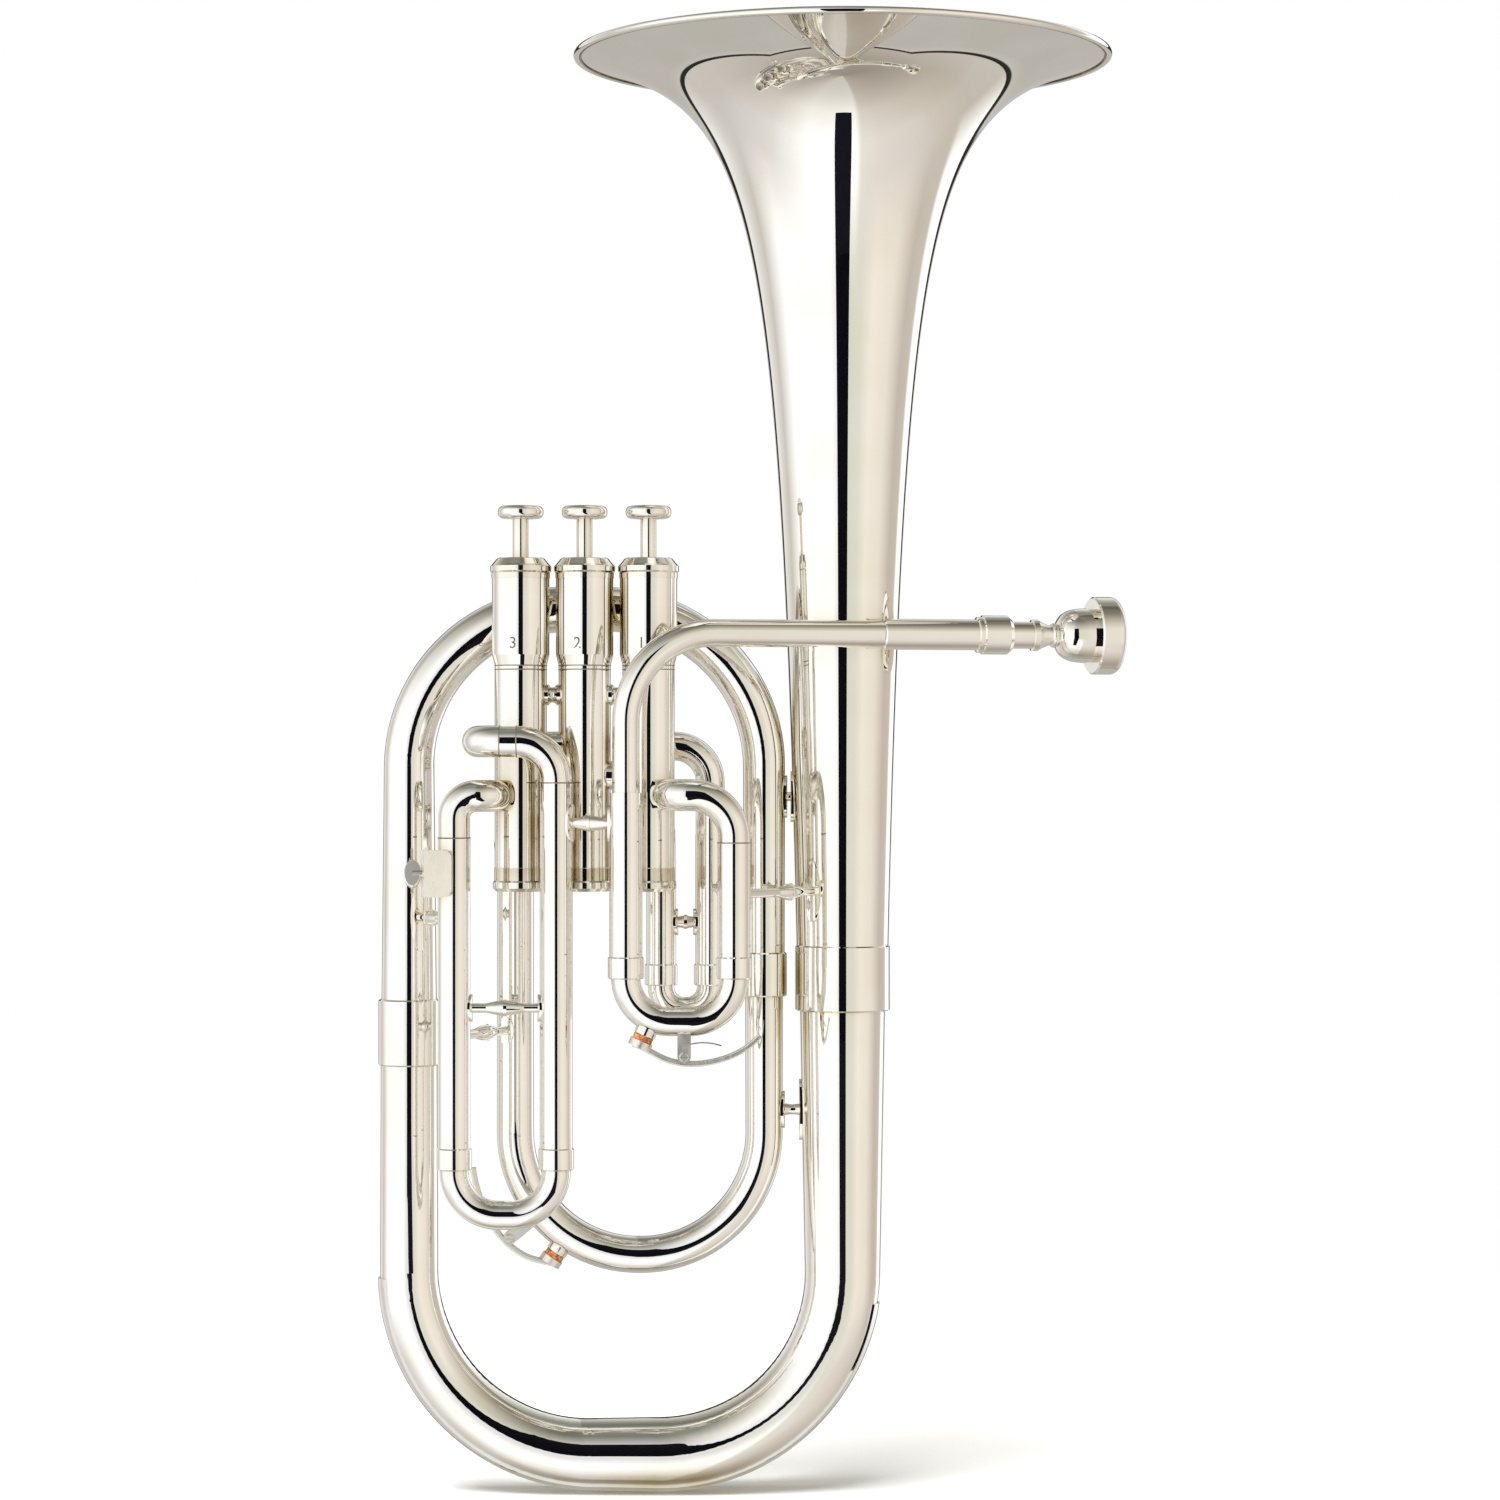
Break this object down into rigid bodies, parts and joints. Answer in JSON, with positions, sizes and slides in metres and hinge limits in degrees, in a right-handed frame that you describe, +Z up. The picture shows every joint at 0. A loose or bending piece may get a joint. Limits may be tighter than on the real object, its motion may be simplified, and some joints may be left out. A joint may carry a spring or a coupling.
{
  "type": "alto horn",
  "caption": "Upright piston-valve alto horn with an upward bell, pull-out tuning slides, water keys and a cup mouthpiece.",
  "frame": {"origin": "under the middle of the horn's width and depth, at the lowest point of the bow guard", "axes": "+X towards the mouthpiece, +Y away from the side with the front slides, +Z up towards the bell's mouth"},
  "size_m": [0.2814, 0.203, 0.5423],
  "materials": {
    "silver_plate": "mirror-bright silver plate over brass",
    "cap_silver": "polished silver plate on turned caps, stems and buttons",
    "mouthpiece_silver": "polished silver plate",
    "piston_nickel": "lapped nickel alloy",
    "spring_steel": "bright spring steel",
    "guide_brass": "plain brass",
    "felt": "pressed wool felt",
    "cork": "natural cork"
  },
  "bodies": {
    "horn": {"bell": "silver_plate", "bell_rim_wire": "silver_plate", "bottom_bow": "silver_plate", "bottom_cap_1": "cap_silver", "bottom_cap_2": "cap_silver", "bottom_cap_3": "cap_silver", "bow_guard": "silver_plate", "bow_key_pin": "spring_steel", "bow_key_saddle": "silver_plate", "bow_key_spring": "spring_steel", "casing_knuckles": "silver_plate", "inner_bow": "silver_plate", "leadpipe": "silver_plate", "lyre_holder": "silver_plate", "main_slide_sleeves": "silver_plate", "mouthpiece_receiver": "silver_plate", "slide_1_sleeves": "silver_plate", "slide_2_sleeves": "silver_plate", "slide_3_sleeves": "silver_plate", "top_cap_1": "cap_silver", "top_cap_2": "cap_silver", "top_cap_3": "cap_silver", "tube_braces": "silver_plate", "tube_ferrules": "silver_plate", "upper_branch": "silver_plate", "valve_casing_1": "silver_plate", "valve_casing_2": "silver_plate", "valve_casing_3": "silver_plate", "valve_guide_1": "guide_brass", "valve_guide_2": "guide_brass", "valve_guide_3": "guide_brass", "valve_inlet_elbow": "silver_plate"},
    "mouthpiece": {"mouthpiece": "mouthpiece_silver"},
    "lyre_screw": {"lyre_screw": "silver_plate"},
    "main_slide": {"main_slide_bow": "silver_plate", "main_key_saddle": "silver_plate", "main_key_pin": "spring_steel", "main_key_spring": "spring_steel"},
    "main_key": {"main_water_key": "silver_plate", "main_key_cork": "cork"},
    "bow_key": {"bow_water_key": "silver_plate", "bow_key_cork": "cork"},
    "slide_1": {"slide_1_bow": "silver_plate"},
    "slide_2": {"slide_2_bow": "silver_plate"},
    "slide_3": {"slide_3_bow": "silver_plate"},
    "valve_1": {"piston_1": "piston_nickel", "valve_stem_1": "cap_silver", "finger_button_1": "cap_silver", "button_felt_1": "felt", "valve_spring_1": "spring_steel"},
    "valve_2": {"piston_2": "piston_nickel", "valve_stem_2": "cap_silver", "finger_button_2": "cap_silver", "button_felt_2": "felt", "valve_spring_2": "spring_steel"},
    "valve_3": {"piston_3": "piston_nickel", "valve_stem_3": "cap_silver", "finger_button_3": "cap_silver", "button_felt_3": "felt", "valve_spring_3": "spring_steel"}
  },
  "joints": [
    {"name": "valve_1_press", "type": "slide", "parent": "horn", "child": "valve_1", "axis": [0, 0, -1], "range_m": [0, 0.0145], "stiffness_N_per_m": 200, "springref_m": -0.018, "deforming": ["valve_spring_1"]},
    {"name": "valve_2_press", "type": "slide", "parent": "horn", "child": "valve_2", "axis": [0, 0, -1], "range_m": [0, 0.0145], "stiffness_N_per_m": 200, "springref_m": -0.018, "deforming": ["valve_spring_2"]},
    {"name": "valve_3_press", "type": "slide", "parent": "horn", "child": "valve_3", "axis": [0, 0, -1], "range_m": [0, 0.0145], "stiffness_N_per_m": 200, "springref_m": -0.018, "deforming": ["valve_spring_3"]},
    {"name": "main_slide_pull", "type": "slide", "parent": "horn", "child": "main_slide", "axis": [0, 0, -1], "range_m": [0, 0.025]},
    {"name": "slide_1_pull", "type": "slide", "parent": "horn", "child": "slide_1", "axis": [0, 0, -1], "range_m": [0, 0.025]},
    {"name": "slide_2_pull", "type": "slide", "parent": "horn", "child": "slide_2", "axis": [0, 1, 0], "range_m": [0, 0.015]},
    {"name": "slide_3_pull", "type": "slide", "parent": "horn", "child": "slide_3", "axis": [0, 0, -1], "range_m": [0, 0.025]},
    {"name": "main_key_tilt", "type": "hinge", "parent": "main_slide", "child": "main_key", "pos_m": [-0.02435, -0.0485, 0.1672], "axis": [0, -1, 0], "range_deg": [0, 12], "stiffness_Nm_per_rad": 0.15, "springref_deg": -14.32},
    {"name": "bow_key_tilt", "type": "hinge", "parent": "horn", "child": "bow_key", "pos_m": [-0.09085, 0, 0.0955], "axis": [0, 1, 0], "range_deg": [0, 12], "stiffness_Nm_per_rad": 0.15, "springref_deg": -14.32},
    {"name": "mouthpiece_pull", "type": "slide", "parent": "horn", "child": "mouthpiece", "axis": [0.9703, 0.2419, 0], "range_m": [0, 0.02]},
    {"name": "lyre_screw_turn", "type": "hinge", "parent": "horn", "child": "lyre_screw", "pos_m": [-0.12395, -0.0454, 0.2339], "axis": [1, 0, 0], "continuous": true}
  ]
}
